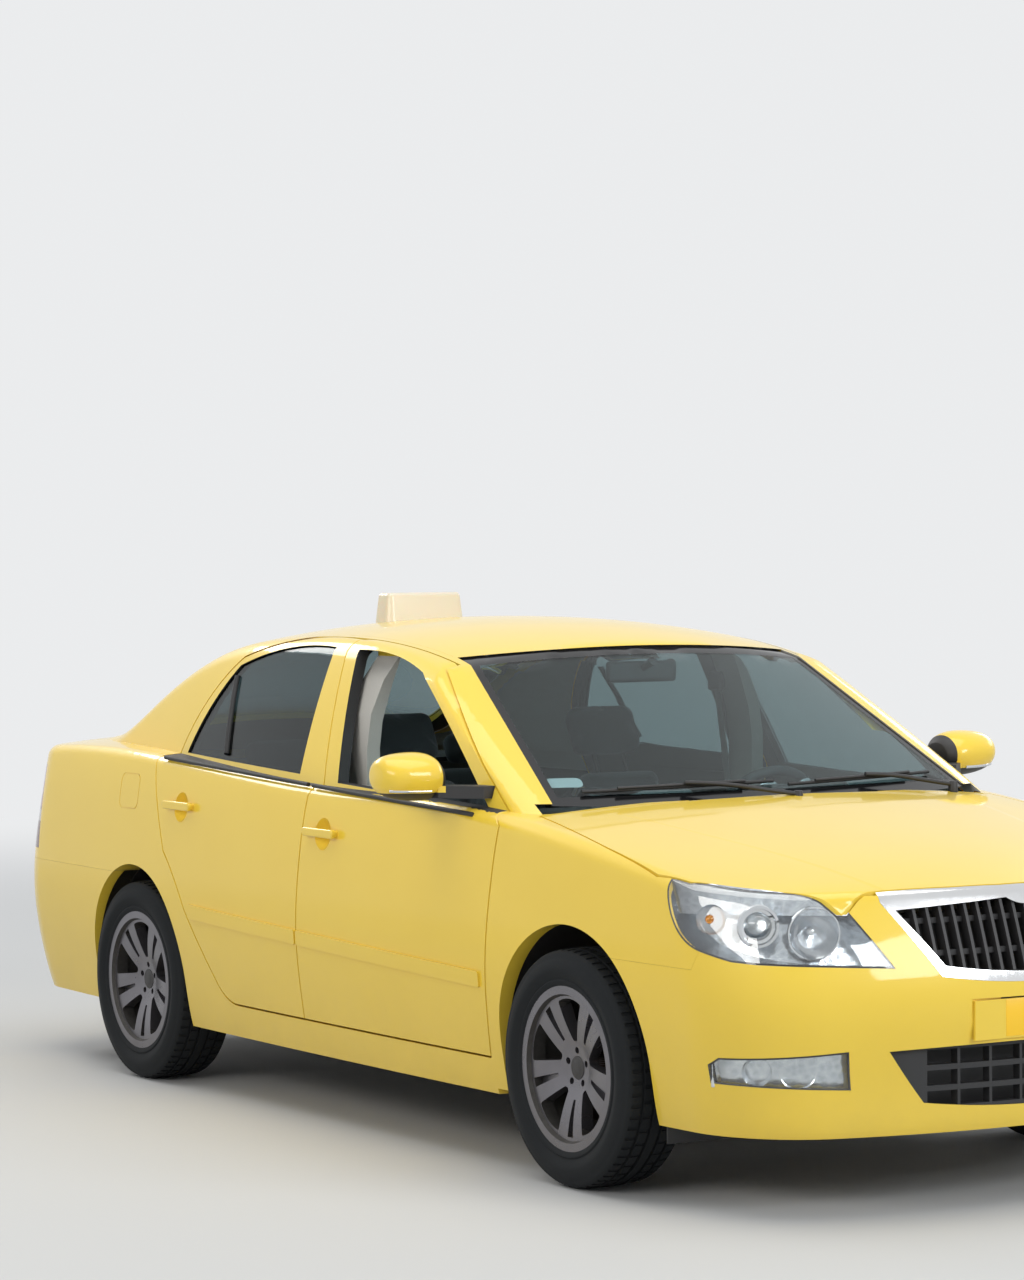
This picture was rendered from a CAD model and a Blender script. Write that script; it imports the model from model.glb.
import bpy
import bmesh
from math import atan2, cos, degrees, pi, radians, sin, sqrt
from mathutils import Matrix, Vector
from mathutils.bvhtree import BVHTree


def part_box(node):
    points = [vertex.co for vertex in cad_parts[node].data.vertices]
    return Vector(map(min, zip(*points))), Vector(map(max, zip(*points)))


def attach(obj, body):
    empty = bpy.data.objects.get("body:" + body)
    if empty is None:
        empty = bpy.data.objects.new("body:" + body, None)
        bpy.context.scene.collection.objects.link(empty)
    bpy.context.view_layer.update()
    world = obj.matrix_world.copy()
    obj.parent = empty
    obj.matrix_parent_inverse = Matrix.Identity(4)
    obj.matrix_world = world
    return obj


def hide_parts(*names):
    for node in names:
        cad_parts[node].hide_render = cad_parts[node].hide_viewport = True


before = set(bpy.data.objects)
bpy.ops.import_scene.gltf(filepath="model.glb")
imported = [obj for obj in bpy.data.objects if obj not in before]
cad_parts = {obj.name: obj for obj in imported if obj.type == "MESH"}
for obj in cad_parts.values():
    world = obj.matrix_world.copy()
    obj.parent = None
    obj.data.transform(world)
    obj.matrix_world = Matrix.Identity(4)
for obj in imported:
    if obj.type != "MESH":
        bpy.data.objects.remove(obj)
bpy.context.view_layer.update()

# Studio: the camera stands off the car's front right corner at head height, where the
# photograph was taken, with a long lens.
eye = Vector((9.9702, -6.2796, 1.6881))
forward = Vector((-0.852645, 0.521938, -0.024003))
rightward = Vector((0.522241, 0.852758, -0.008296))
upward = Vector((-0.016139, 0.019609, 0.999677))
focal_length, image_height, sensor_width = 3880.9, 1280, 36
lens = bpy.data.cameras.new("camera")
lens.sensor_fit = "AUTO"
lens.sensor_width = sensor_width
lens.lens = focal_length / image_height * sensor_width
lens.clip_end = 200
camera = bpy.data.objects.new("camera", lens)
camera.matrix_world = Matrix((rightward, upward, -forward)).transposed().to_4x4()
camera.matrix_world.translation = eye
bpy.context.collection.objects.link(camera)
bpy.context.scene.camera = camera
bpy.context.scene.view_settings.view_transform = "Standard"

# Floor and light: a pale matt floor that fades into a pale sky, one wide lamp above and
# softer ones round the car, so that long soft streaks lie on the paint.


def put(socket, value):
    """sets a socket, or links another node's output to it"""
    if isinstance(value, bpy.types.NodeSocket):
        socket.id_data.links.new(value, socket)
    else:
        socket.default_value = (*value, 1) if socket.type == "RGBA" else value


def add_node(where, kind, **values):
    """a new node in the tree of where, filled in, an underscore standing for a space"""
    node = where.id_data.nodes.new("ShaderNode" + kind)
    fill_in(node, **values)
    return node


def fill_in(node, **values):
    """sets a node's own properties, in small letters, and sets or links its inputs"""
    for name, value in values.items():
        if name[0].islower():
            setattr(node, name, value)
        else:
            put(node.inputs[name.replace("_", " ")], value)


def maths(operation, first, second=None, clamp=False):
    """one arithmetic node on sockets or a socket and a value"""
    socket = first if isinstance(first, bpy.types.NodeSocket) else second
    node = add_node(socket, "Math", operation=operation, use_clamp=clamp)
    put(node.inputs[0], first)
    if second is not None:
        put(node.inputs[1], second)
    return node.outputs[0]


def either_shader(choice, first, second, end="Material Output"):
    """a material that shows its second shader where choice is 1"""
    node = add_node(choice, "MixShader")
    for socket, value in zip(node.inputs, (choice, first, second)):
        put(socket, value)
    put(choice.id_data.nodes[end].inputs["Surface"], node.outputs[0])


def seen_directly(tree):
    """1 for what the camera sees, in glass and in gloss too, and 0 for light on the car"""
    path = add_node(tree, "LightPath").outputs
    in_gloss = maths("MAXIMUM", path["Is Camera Ray"], path["Is Glossy Ray"])
    return maths("MAXIMUM", in_gloss, path["Is Transmission Ray"])


def object_of(name, form):
    """a new object made of a bmesh"""
    mesh = bpy.data.meshes.new(name)
    form.to_mesh(mesh)
    form.free()
    piece = bpy.data.objects.new(name, mesh)
    bpy.context.collection.objects.link(piece)
    return piece


form = bmesh.new()
bmesh.ops.create_circle(form, cap_ends=True, segments=96, radius=60)
floor = object_of("floor", form)
pale = (0.83, 0.84, 0.85)
fade_start, fade_end = 3.5, 13
floor_paint = bpy.data.materials.new("floor")
floor_paint.use_nodes = True
tree = floor_paint.node_tree
shader = tree.nodes["Principled BSDF"]
fill_in(shader, Base_Color=(0.6, 0.6, 0.595), Roughness=0.7)
distance = add_node(tree, "VectorMath", operation="LENGTH",
                    Vector=add_node(tree, "TexCoord").outputs["Object"])
fade = add_node(tree, "MapRange", interpolation_type="SMOOTHSTEP", From_Min=fade_start,
                From_Max=fade_end, Value=distance.outputs["Value"])
glow = add_node(tree, "Emission", Color=pale)
either_shader(maths("MULTIPLY", fade.outputs[0], seen_directly(tree)),
              shader.outputs[0], glow.outputs[0])
floor.data.materials.append(floor_paint)

sky = bpy.data.worlds.new("sky")
sky.use_nodes = True
tree = sky.node_tree
daylight = tree.nodes["Background"]
fill_in(daylight, Color=(0.86, 0.93, 1.0), Strength=0.42)
backdrop = add_node(tree, "Background", Color=pale)
either_shader(seen_directly(tree), daylight.outputs[0], backdrop.outputs[0], "World Output")
bpy.context.scene.world = sky

for name, place, target, size_x, size_y, power, colour in (
        ("lamp_above", (0.8, -0.6, 6.0), (0.2, 0, 0.6), 7, 4.2, 195, (1.0, 0.98, 0.94)),
        ("lamp_right", (3.5, -8.0, 4.2), (0.3, 0, 0.7), 7, 2.0, 215, (1.0, 0.97, 0.93)),
        ("lamp_front", (9.0, 2.5, 4.0), (0, 0, 0.7), 4, 2.6, 310, (0.94, 0.97, 1.0)),
        ("lamp_left", (-1.5, 8.0, 4.4), (0, 0, 0.7), 7, 2.0, 170, (0.94, 0.97, 1.0)),
        ("lamp_back", (-7.5, -1.5, 5.2), (0, 0, 0.7), 4, 2.0, 150, (1.0, 0.98, 0.95))):
    lamp = bpy.data.lights.new(name, "AREA")
    lamp.shape = "RECTANGLE"
    lamp.size, lamp.size_y = size_x, size_y
    lamp.energy = power
    lamp.color = colour
    stand = bpy.data.objects.new(name, lamp)
    way = Vector(target) - Vector(place)
    turn = way.to_track_quat("-Z", "Y").to_matrix().to_4x4()
    stand.matrix_world = Matrix.Translation(place) @ turn
    bpy.context.collection.objects.link(stand)

# Painted steel panels: pressed sheet under pale warm yellow paint and a clear coat. Each is
# a copy of its CAD panel with the facets smoothed, since a pressing has no flats.


def start_material(name, **sockets):
    """a new material, its shader with some sockets set, and the object's coordinates"""
    material = bpy.data.materials.new(name)
    material.use_nodes = True
    tree = material.node_tree
    shader = tree.nodes["Principled BSDF"]
    fill_in(shader, **sockets)
    return material, shader, add_node(tree, "TexCoord").outputs["Object"]


def start_group(name, inputs, outputs):
    """a shader node group with named sockets"""
    group = bpy.data.node_groups.new(name, "ShaderNodeTree")
    for socket, (kind, value) in inputs.items():
        made = group.interface.new_socket(name=socket, in_out="INPUT",
                                          socket_type="NodeSocket" + kind)
        if value is not None:
            made.default_value = value
    for socket, kind in outputs.items():
        group.interface.new_socket(name=socket, in_out="OUTPUT", socket_type="NodeSocket" + kind)
    return group, group.nodes.new("NodeGroupInput").outputs, group.nodes.new("NodeGroupOutput")


def use_group(group, place, **values):
    """places a group in a material, with its own values"""
    return add_node(place, "Group", node_tree=group, Place=place, **values)


def mixed(factor, first, second):
    """a mix of two colours"""
    node = add_node(factor, "Mix", data_type="RGBA")
    for i, value in ((0, factor), (6, first), (7, second)):
        put(node.inputs[i], value)
    return node.outputs[2]


def bumped(shader, height, distance, strength):
    """feeds a height into the shader's normal"""
    bump = add_node(height, "Bump", Distance=distance, Strength=strength, Height=height)
    fill_in(shader, Normal=bump.outputs["Normal"])


dust, given, made = start_group("dust", {
    "Place": ("Vector", None), "Clean": ("Color", (1, 1, 1, 1)),
    "Dust": ("Color", (0.3, 0.27, 0.22, 1)), "Low": ("Float", 0.2), "High": ("Float", 0.6),
    "Amount": ("Float", 0.5)}, {"Color": "Color", "Mask": "Float"})
height = add_node(dust, "SeparateXYZ", Vector=given["Place"]).outputs["Z"]
cloud = add_node(dust, "TexNoise", Scale=7, Detail=7, Roughness=0.62, Vector=given["Place"])
fall = add_node(dust, "MapRange", Value=height, From_Min=given["Low"], From_Max=given["High"],
                To_Min=1, To_Max=0)
patchy = maths("MULTIPLY", fall.outputs[0], maths("ADD", cloud.outputs["Fac"], 0.25))
mask = maths("MULTIPLY", patchy, given["Amount"], clamp=True)
fill_in(made, Color=mixed(mask, given["Clean"], given["Dust"]), Mask=mask)

grain, given, made = start_group("grain", {
    "Place": ("Vector", None), "Scale": ("Float", 900.0), "Detail": ("Float", 3.0)},
    {"Height": "Float", "Patch": "Float"})
fine = add_node(grain, "TexNoise", Vector=given["Place"], Scale=given["Scale"],
                Detail=given["Detail"])
broad = add_node(grain, "TexNoise", Vector=given["Place"], Scale=3, Detail=5)
fill_in(made, Height=fine.outputs["Fac"], Patch=broad.outputs["Fac"])


def dusty(shader, place, low, high, amount, clean, dirty):
    """lays dust over a colour, thick below the height low and gone above high; its mask"""
    dirt = use_group(dust, place, Low=low, High=high, Amount=amount, Clean=clean, Dust=dirty)
    fill_in(shader, Base_Color=dirt.outputs["Color"])
    return dirt.outputs["Mask"]


def grained(name, by, scale, detail, first, second, bump=None, **sockets):
    """a material between two colours, by the grain's fine Height or its broad Patch"""
    material, shader, place = start_material(name, **sockets)
    node = use_group(grain, place, Scale=scale, Detail=detail)
    fill_in(shader, Base_Color=mixed(node.outputs[by], first, second))
    if bump:
        bumped(shader, node.outputs["Height"], *bump)
    return material


def pebbled(name, scale, detail, dirt, clean, dirty, bump, **sockets):
    """a material of one colour under dust, with a grained surface"""
    material, shader, place = start_material(name, **sockets)
    dusty(shader, place, *dirt, clean, dirty)
    node = use_group(grain, place, Scale=scale, Detail=detail)
    bumped(shader, node.outputs["Height"], *bump)
    return material


coat = 0.8
paint, shader, place = start_material(
    "cab_paint", Roughness=0.36, Coat_Weight=coat, Coat_Roughness=0.05, Coat_IOR=1.47, IOR=1.4,
    Specular_IOR_Level=0.3)
peel = use_group(grain, place, Scale=420, Detail=1)
tone = mixed(peel.outputs["Patch"], (0.88, 0.605, 0.05), (0.91, 0.645, 0.065))
dirt = dusty(shader, place, 0.16, 0.62, 0.35, tone, (0.4, 0.29, 0.09))
fill_in(shader, Coat_Weight=maths("SUBTRACT", coat, dirt, clamp=True))
bumped(shader, peel.outputs["Height"], 0.00006, 0.25)
sides = (("right", -1), ("left", 1))


def copy_of(node):
    """a bmesh of a CAD node with its corners joined up"""
    form = bmesh.new()
    form.from_mesh(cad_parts[node].data)
    bmesh.ops.remove_doubles(form, verts=form.verts, dist=0.00001)
    bmesh.ops.dissolve_degenerate(form, edges=form.edges, dist=0.000005)
    return form


def keep(name, form, material, crease=30, body="chassis", replaces=()):
    """makes a piece of a bmesh, smooth but for edges sharper than crease degrees"""
    bmesh.ops.remove_doubles(form, verts=form.verts, dist=0.000005)
    for face in form.faces:
        face.smooth = True
    for edge in form.edges:
        edge.smooth = len(edge.link_faces) == 2 and edge.calc_face_angle() < radians(crease)
    piece = object_of(name, form)
    attributes = piece.data.attributes
    if "custom_normal" in attributes:
        attributes.remove(attributes["custom_normal"])
    for material_of_piece in material if isinstance(material, tuple) else (material,):
        piece.data.materials.append(material_of_piece)
    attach(piece, body)
    if replaces:
        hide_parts(*replaces)
    return piece


def smoothed(node, material, crease=30, body="chassis"):
    """a smoothed copy that stands for a CAD node"""
    return keep(node + "_skin", copy_of(node), material, crease, body, (node,))


def part_out(form, rule):
    """gives each face the material that a rule picks from its middle and its normal"""
    for face in form.faces:
        face.material_index = int(rule(face.calc_center_median(), face.normal))


def cut(form, point, way):
    """cuts the faces along a plane, so that a change of material can follow it"""
    bmesh.ops.bisect_plane(form, geom=form.verts[:] + form.edges[:] + form.faces[:], dist=0.00001,
                           plane_co=point, plane_no=way)


def inner_faces(form, side, window):
    """gives a side panel's cabin-facing faces the second material, and the reveals that face
    the middle of its window the third"""
    for face in form.faces:
        middle = face.calc_center_median()
        inward = face.normal.y * -side
        lean = (middle.y * side - pillar_width) * 0.9 + (middle.z - 1.0) * 0.437
        if inward > 0.35 and middle.y * side < pillar_width:
            face.material_index = 3 if window is None and middle.z > sill_height else 1
        elif window is None:
            near_pillar = abs(middle.x + 0.05) < 0.25
            if sill_height < middle.z < 1.37 and lean < 0 and near_pillar:
                face.material_index = 3
        elif middle.z > 0.95 and abs(face.normal.y) < 0.42:
            towards = Vector((window[0] - middle.x, 0, window[1] - middle.z))
            if towards.dot(face.normal) > 0:
                face.material_index = 2


trim_grey = grained("cabin_trim", "Patch", 520, 3, (0.115, 0.112, 0.105), (0.145, 0.14, 0.13),
                    (0.0003, 0.6), Roughness=0.68)
seal_rubber = grained("seal_rubber", "Patch", 600, 2, (0.012, 0.012, 0.013),
                      (0.024, 0.024, 0.025), (0.0002, 0.4), Roughness=0.6)
headlining = grained("headlining", "Height", 380, 6, (0.44, 0.42, 0.38), (0.56, 0.54, 0.49),
                     (0.0006, 0.5), Roughness=0.95, Sheen_Weight=0.3)
pillar_width, sill_height = 0.8, 0.93
for node, body in (("body_side_right", "chassis"), ("body_side_left", "chassis"),
                   ("front_door_right", "front_door_right"), ("front_door_left", "front_door_left"),
                   ("rear_door_right", "rear_door_right"), ("rear_door_left", "rear_door_left")):
    form = copy_of(node)
    side = 1 if node.endswith("left") else -1
    if body == "chassis":
        cut(form, (0, side * pillar_width, 1.0), (0, side * 0.9, 0.437))
        cut(form, (0, 0, sill_height), (0, 0, 1))
    inner_faces(form, side, {"b": None, "f": (0.35, 1.12), "r": (-0.62, 1.18)}[node[0]])
    keep(node + "_skin", form, (paint, trim_grey, seal_rubber, headlining), 30, body,
         (node,))
form = copy_of("roof")
part_out(form, lambda middle, normal: normal.z < -0.5)
keep("roof_skin", form, (paint, headlining), replaces=("roof",))
for node in ("front_fender_right", "front_fender_left", "front_bumper", "rear_bumper"):
    smoothed(node, paint)
form = copy_of("tailgate")
part_out(form, lambda middle, normal: normal.z < -0.25 and middle.z > 0.9)
keep("tailgate_skin", form, (paint, trim_grey), 30, "tailgate", ("tailgate",))

bonnet_lining = grained("bonnet_lining", "Height", 120, 6, (0.02, 0.02, 0.02),
                        (0.06, 0.06, 0.06), (0.002, 0.6), Roughness=0.9)
bonnet_paint = paint.copy()
bonnet_paint.name = "bonnet_paint"
tree = bonnet_paint.node_tree
peel_bump = tree.nodes["Bump"]
spot = add_node(tree, "SeparateXYZ", Vector=tree.nodes["Texture Coordinate"].outputs["Object"])
back_of_crease = maths("SUBTRACT", spot.outputs["X"], 1.12)
crease_line = maths("ADD", maths("MULTIPLY", back_of_crease, -0.2), 0.6)
off_line = maths("SUBTRACT", maths("ABSOLUTE", spot.outputs["Y"]), crease_line)
rise = add_node(tree, "MapRange", interpolation_type="SMOOTHSTEP", From_Min=-0.01,
                From_Max=0.012, Value=off_line)
crease_bump = add_node(tree, "Bump", invert=True, Distance=0.0022, Strength=1.0,
                       Height=rise.outputs[0])
fill_in(peel_bump, Normal=crease_bump.outputs["Normal"])
lining_width, lining_front = 0.62, 2.0
form = copy_of("bonnet")
cut(form, (0, lining_width, 0), (0, 1, 0))
cut(form, (0, -lining_width, 0), (0, 1, 0))
cut(form, (lining_front, 0, 0), (1, 0, 0))
part_out(form, lambda middle, normal:
         normal.z < -0.5 and middle.x < lining_front and abs(middle.y) < lining_width)
keep("bonnet_skin", form, (bonnet_paint, bonnet_lining), 30, "bonnet", ("bonnet",))

# Glass: curved laminated and tempered panes, slightly grey-green, with a black printed band
# round the edge that hides the glue.


def let_light_through(shader, colour):
    """lets light on its way to a lamp pass straight through, tinted"""
    clear = add_node(shader, "BsdfTransparent", Color=colour)
    shadow = add_node(shader, "LightPath").outputs["Is Shadow Ray"]
    either_shader(shadow, shader.outputs[0], clear.outputs[0])


def glass_material(name, tint, strength):
    """clear pane; light passes through it as through thin tinted glass"""
    material, shader, place = start_material(name, Roughness=0.0, IOR=1.3,
                                                   Transmission_Weight=1.0)
    smear = use_group(grain, place, Scale=26, Detail=6)
    fill_in(shader, Base_Color=mixed(maths("MULTIPLY", smear.outputs["Height"], 0.35), tint,
              tuple(v * 0.8 for v in tint)))
    let_light_through(shader, tuple(strength * v for v in tint))
    return material, place


side_glass, place = glass_material("side_glass", (0.2, 0.27, 0.28), 0.8)
screen_glass, place = glass_material("screen_glass", (0.5, 0.62, 0.63), 0.95)
spot = add_node(place, "SeparateXYZ", Vector=place)
across, up = maths("ABSOLUTE", spot.outputs["Y"]), spot.outputs["Z"]
lean = maths("MULTIPLY", maths("SUBTRACT", up, 0.984), 0.347)
side_edge = maths("ADD", across, lean)
arch = maths("MULTIPLY", maths("MULTIPLY", across, across), 0.08)
top_edge = maths("ADD", up, arch)
over_top = maths("GREATER_THAN", top_edge, 1.372)
below_foot = maths("LESS_THAN", up, 1.004)
edge = maths("MAXIMUM", maths("GREATER_THAN", side_edge, 0.677),
             maths("MAXIMUM", over_top, below_foot))
print_ink = add_node(place, "BsdfPrincipled", Base_Color=(0.008, 0.008, 0.009), Roughness=0.12)
pane_shader = place.id_data.nodes["Material Output"].inputs["Surface"].links[0].from_socket
either_shader(edge, pane_shader, print_ink.outputs[0])
smoothed("windscreen", screen_glass)
smoothed("rear_glass", side_glass, body="tailgate")
for door in ("front_door", "rear_door"):
    for side, sign in sides:
        if (door, side) != ("front_door", "right"):
            node = "%s_glass_%s" % (door, side)
            smoothed(node, side_glass, body="%s_%s" % (door, side))

# Wheels: cast alloy rims with five wide spokes, machined faces gone dull with brake dust,
# bolted to the hubs, and rubber tyres.
alloy, shader, place = start_material("cast_alloy", Metallic=0.85)
cast = use_group(grain, place, Scale=700, Detail=2)
dusty(shader, place, 0.0, 1.4, 0.5, (0.25, 0.245, 0.265), (0.06, 0.048, 0.048))
fill_in(shader, Roughness=maths("ADD", 0.18, maths("MULTIPLY", cast.outputs["Patch"], 0.22)))
bumped(shader, cast.outputs["Height"], 0.0001, 0.3)
rubber = pebbled("tyre_rubber", 500, 4, (-0.2, 1.1, 0.5), (0.007, 0.009, 0.011),
                 (0.03, 0.03, 0.03), (0.0004, 0.5), Roughness=0.8, Specular_IOR_Level=0.22)
brake_steel, shader, place = start_material("brake_steel", Metallic=0.9, Roughness=0.5)
rings = add_node(place, "TexNoise", Scale=35, Vector=place)
fill_in(shader, Base_Color=mixed(rings.outputs["Fac"], (0.045, 0.04, 0.036), (0.1, 0.075, 0.055)))
dark_alloy = grained("dusty_barrel", "Height", 50, 4, (0.035, 0.033, 0.03), (0.08, 0.075, 0.07),
                     Metallic=0.5, Roughness=0.6)


def middle_of(node):
    """the middle of a CAD node's box"""
    low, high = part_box(node)
    return (Vector(low) + Vector(high)) / 2


disc_radius, disc_face, barrel_radius, lip_radius = 0.16, 0.022, 0.17, 0.205
wheels = []
for end in ("front", "rear"):
    for side, sign in sides:
        body, node, tyre = ("%s_%s_%s" % (thing, end, side) for thing in ("wheel", "rim", "tyre"))
        form, hub = copy_of(node), middle_of(node)
        for face in form.faces:
            spot = face.calc_center_median() - hub
            outward = spot.y * sign
            reach = sqrt(spot.x ** 2 + spot.z ** 2)
            in_window = reach < lip_radius and abs(face.normal.y) < 0.8
            if outward < disc_face and reach < disc_radius:
                face.material_index = 1
            elif reach > barrel_radius and (outward < 0.07 or in_window):
                face.material_index = 2
        keep(node + "_cast", form, (alloy, brake_steel, dark_alloy), 28, body, (node,))
        wheels.append((end, side, sign, body, tyre, middle_of(tyre)))

half_section = [(0.082, 0.205), (0.088, 0.216), (0.0945, 0.224), (0.0955, 0.232), (0.0925, 0.236),
                (0.0975, 0.248), (0.101, 0.258), (0.1015, 0.266), (0.099, 0.278),
                (0.0955, 0.289), (0.0935, 0.292), (0.0925, 0.3), (0.089, 0.306),
                (0.083, 0.3105), (0.076, 0.3125), (0.056, 0.314), (0.0555, 0.307),
                (0.047, 0.3072), (0.0465, 0.3145), (0.022, 0.3155), (0.0215, 0.3083),
                (0.0125, 0.3085), (0.012, 0.3158)]
section = half_section + [(-offset, reach) for offset, reach in reversed(half_section)]
tyre_sectors, sipe_depth = 192, 0.0035
for end, side, sign, body, tyre, centre in wheels:
    form = bmesh.new()
    corners = [form.verts.new(centre + Vector((0, offset, reach))) for offset, reach in section]
    for i in range(len(corners)):
        form.edges.new((corners[i - 1], corners[i]))
    bmesh.ops.spin(form, geom=form.verts[:] + form.edges[:], cent=centre, axis=(0, 1, 0),
                   angle=2 * pi, steps=tyre_sectors, use_merge=True)
    bmesh.ops.recalc_face_normals(form, faces=form.faces)
    sipes = []
    for face in form.faces:
        middle = face.calc_center_median() - centre
        reach = sqrt(middle.x ** 2 + middle.z ** 2)
        sector = int((degrees(atan2(middle.x, middle.z)) % 360) / 360 * tyre_sectors)
        across = abs(middle.y)
        on_shoulder = reach > 0.309 and across > 0.055
        on_rib = reach > 0.312 and 0.022 < across < 0.047
        if on_shoulder and sector % 3 == 0 or on_rib and sector % 4 == 1:
            sipes.append(face)
    sunk = bmesh.ops.extrude_face_region(form, geom=sipes)["geom"]
    bmesh.ops.delete(form, geom=sipes, context="FACES_ONLY")
    for vert in {v for v in sunk if isinstance(v, bmesh.types.BMVert)}:
        away = Vector((vert.co.x - centre.x, 0, vert.co.z - centre.z))
        vert.co -= away.normalized() * sipe_depth
    keep(tyre + "_tread", form, rubber, 35, body, (tyre,))

# Black parts: moulded plastic and rubber, dulled by road dust. The slats stand upright
# between the bright surround's arms, the cowl closes the gap below the windscreen.
black = pebbled("black_plastic", 800, 2, (0.1, 1.2, 0.3), (0.018, 0.018, 0.02),
                (0.09, 0.08, 0.07), (0.0002, 0.4), Roughness=0.5)
chrome, shader, place = start_material("bright_trim", Metallic=1.0)
haze = use_group(grain, place, Scale=40, Detail=5)
smears = maths("MULTIPLY", haze.outputs["Height"], 0.14)
fill_in(shader, Roughness=maths("ADD", 0.06, smears),
        Base_Color=mixed(haze.outputs["Patch"], (0.7, 0.71, 0.72), (0.82, 0.82, 0.82)))
smoothed("grille_surround", chrome, 35)
for node in ("grille_slats", "wheel_liners", "cowl"):
    smoothed(node, black, 35)
smoothed("lower_grille", seal_rubber, 35)


def towards(way, up="Y"):
    """the turn that points an upright shape along way"""
    return Vector(way).to_track_quat("Z", up).to_matrix().to_4x4()


def block(form, corner, opposite, edge, segments=3):
    """adds a box with rounded edges to a form"""
    corner, opposite = Vector(corner), Vector(opposite)
    size = [abs(length) for length in opposite - corner]
    made = bmesh.ops.create_cube(form, size=1, matrix=Matrix.Translation((opposite + corner) / 2)
                                 @ Matrix.Diagonal((*size, 1)))
    edges = {e for v in made["verts"] for e in v.link_edges}
    bmesh.ops.bevel(form, geom=list(edges), offset=edge, segments=segments, affect="EDGES",
                    profile=0.5, material=-1)


def blocks(*rows):
    """a form of boxes, each given as block wants it"""
    form = bmesh.new()
    for row in rows:
        block(form, *row)
    return form


def boxes(name, material, slot, *rows, body="chassis"):
    """a piece made of boxes only"""
    keep(name, blocks(*rows), material, 40, body)


def drum(form, start, end, radius, end_radius, edge=0.0, segments=40):
    """adds a round bar or cone between two points to a form"""
    start, end = Vector(start), Vector(end)
    way = end - start
    made = bmesh.ops.create_cone(
        form, cap_ends=True, cap_tris=False, segments=segments, radius1=radius,
        radius2=end_radius, depth=way.length,
        matrix=Matrix.Translation((start + end) / 2) @ towards(way))
    if edge:
        rims = {e for v in made["verts"] for e in v.link_edges
                if abs(e.calc_face_angle(0)) > 0.9}
        bmesh.ops.bevel(form, geom=list(rims), offset=edge, segments=2, affect="EDGES",
                        profile=0.5, material=-1)


def thicken(form, thickness):
    """gives a form's faces a thickness"""
    bmesh.ops.solidify(form, geom=form.faces, thickness=thickness)


def bowl(form, centre, way, profile):
    """adds a turned shape to a form: profile is (distance along way, radius)"""
    turn = Matrix.Translation(centre) @ towards(way)
    corners = [form.verts.new(turn @ Vector((radius, 0, along))) for along, radius in profile]
    edges = [form.edges.new(pair) for pair in zip(corners, corners[1:])]
    bmesh.ops.spin(form, geom=corners + edges, cent=centre, axis=Vector(way).normalized(),
                   angle=2 * pi, steps=48, use_merge=True)
    bmesh.ops.recalc_face_normals(form, faces=form.faces)


def tube(name, points, radius, material, body="chassis"):
    """a bent round bar along smooth points"""
    path = bpy.data.curves.new(name, "CURVE")
    path.dimensions = "3D"
    path.bevel_depth = radius
    path.bevel_resolution = 3
    path.use_fill_caps = True
    spline = path.splines.new("NURBS")
    spline.points.add(len(points) - 1)
    for point, place in zip(spline.points, points):
        point.co = (*place, 1)
    spline.order_u = 3
    spline.use_endpoint_u = True
    spline.resolution_u = 6
    rough = bpy.data.objects.new(name + "_path", path)
    mesh = bpy.data.meshes.new_from_object(rough)
    bpy.data.objects.remove(rough)
    form = bmesh.new()
    form.from_mesh(mesh)
    bmesh.ops.recalc_face_normals(form, faces=form.faces)
    keep(name, form, material, 50, body)


# Headlamps: a clear moulded cover over a silvered housing with a black brow, a round
# projector for the dipped beam, a bowl for the main beam and a small amber bulb.
clear_plastic = grained("clear_plastic", "Height", 30, 6, (0.97, 0.98, 0.98),
                        (0.9, 0.91, 0.9), Roughness=0.02, IOR=1.45, Transmission_Weight=1.0,
                        Coat_Weight=0.5)
let_light_through(clear_plastic.node_tree.nodes["Principled BSDF"], (1, 1, 1))
silvered = grained("silvered_plastic", "Patch", 60, 2, (0.62, 0.64, 0.66), (0.78, 0.8, 0.82),
                   (0.001, 0.3), Metallic=1.0, Roughness=0.16)
amber = grained("amber_glass", "Height", 90, 2, (0.85, 0.3, 0.03), (0.95, 0.42, 0.06),
                Roughness=0.1, Transmission_Weight=0.6)
lamp_metal, shader, place = start_material("lamp_housing", Metallic=0.9, Roughness=0.22)
flutes = add_node(place, "TexVoronoi", Scale=55, Vector=place).outputs["Distance"]
across = maths("ABSOLUTE", add_node(place, "SeparateXYZ", Vector=place).outputs["Y"])
outer_end = maths("MULTIPLY", maths("SUBTRACT", across, 0.755), 12, clamp=True)
tone = mixed(flutes, (0.5, 0.55, 0.6), (0.72, 0.76, 0.8))
fill_in(shader, Base_Color=mixed(outer_end, tone, (0.1, 0.11, 0.13)))
bumped(shader, flutes, 0.002, 0.5)


def lamp_rim(name, cover, inward, width):
    """a black seal along the open edge of a lamp's cover"""
    rim = cover.copy()
    border = [edge for edge in rim.edges if edge.is_boundary]
    pulled = [v for v in bmesh.ops.extrude_edge_only(rim, edges=border)["geom"]
              if isinstance(v, bmesh.types.BMVert)]
    bmesh.ops.translate(rim, verts=pulled, vec=inward)
    kept = {face for v in pulled for face in v.link_faces}
    bmesh.ops.delete(rim, geom=[f for f in rim.faces if f not in kept], context="FACES")
    thicken(rim, width)
    keep(name, rim, black, 40)


def ball(name, centre, radius, rings, material):
    """a glass ball inside a lamp"""
    form = bmesh.new()
    bmesh.ops.create_uvsphere(form, u_segments=rings[0], v_segments=rings[1], radius=radius,
                              matrix=Matrix.Translation(centre))
    keep(name, form, material, 60)


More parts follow.
